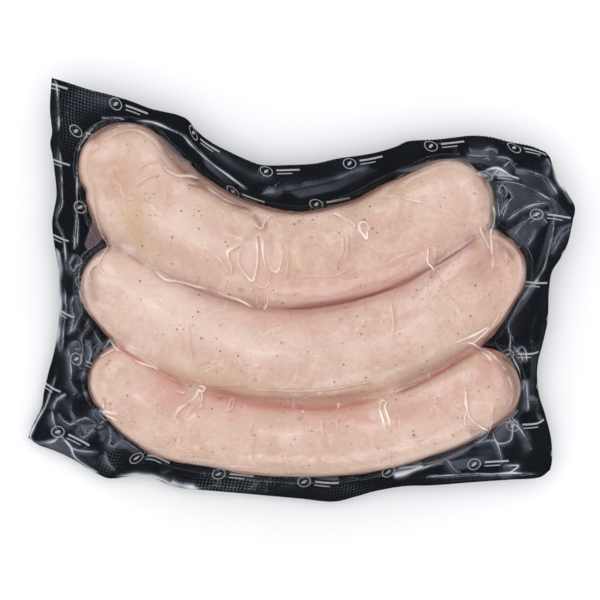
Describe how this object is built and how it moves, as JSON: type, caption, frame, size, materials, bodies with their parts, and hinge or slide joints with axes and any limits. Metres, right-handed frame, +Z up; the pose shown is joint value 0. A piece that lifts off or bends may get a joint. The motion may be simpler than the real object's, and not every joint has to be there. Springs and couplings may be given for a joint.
{
  "type": "vacuum pack of sausages",
  "caption": "Shut vacuum pack of pale bent sausages lying side by side between a clear cover film and a black backing film.",
  "frame": {"origin": "centre of the pack's plan at the table, below the middle sausage", "axes": "+X along the sausages, +Y across the pack towards the hollow side of the bent sausages, +Z up through the clear film"},
  "size_m": [0.2056, 0.1591, 0.0336],
  "materials": {
    "black_film": "glossy printed barrier film, creased",
    "sausage": "moist raw sausage skin, pale pink beige with fine specks",
    "clear_film": "clear glossy shrunk film with fine wrinkles"
  },
  "bodies": {
    "root": {"back_film": "black_film", "sausage_top": "sausage", "sausage_middle": "sausage", "sausage_bottom": "sausage", "clear_film": "clear_film"}
  },
  "joints": []
}
